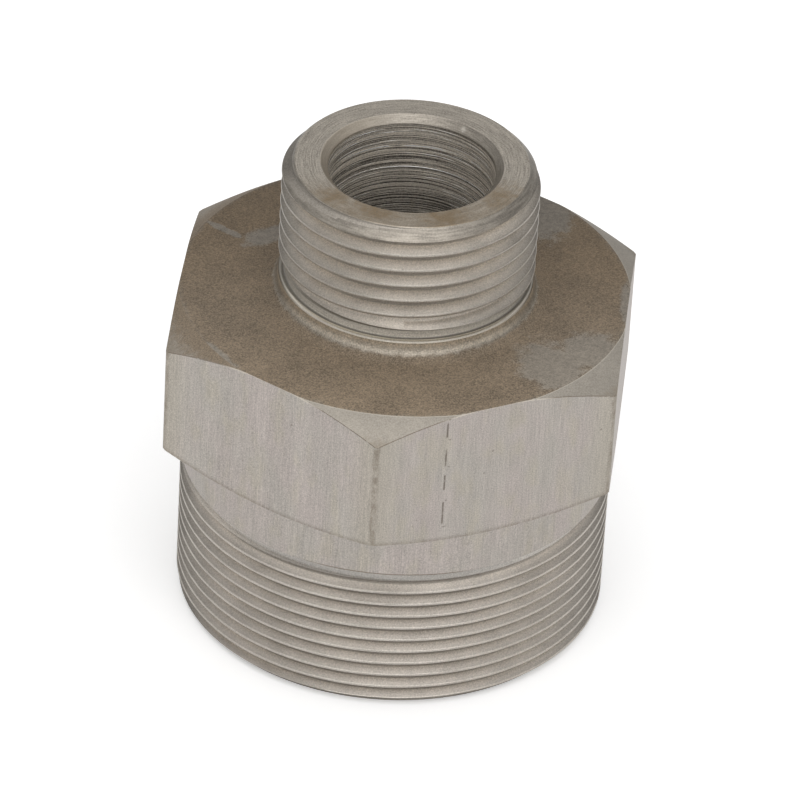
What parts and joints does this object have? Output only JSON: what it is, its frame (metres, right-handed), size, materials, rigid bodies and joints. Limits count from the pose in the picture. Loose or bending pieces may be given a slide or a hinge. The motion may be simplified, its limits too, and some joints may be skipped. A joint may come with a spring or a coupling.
{
  "type": "double nipple",
  "caption": "Reducing hexagon double nipple: a wide and a narrow male threaded end on either side of a hexagon, with a stepped bore right through.",
  "frame": {"origin": "centre of the end face of the large threaded end, on which the part stands", "axes": "+Z along the bore's axis, from the large end to the small end; +X through a corner of the hexagon"},
  "size_m": [0.053, 0.046, 0.0521],
  "materials": {
    "steel": "turned and milled stainless steel, dull grey with faint tool marks"
  },
  "bodies": {
    "root": {"double_nipple": "steel"}
  },
  "joints": []
}
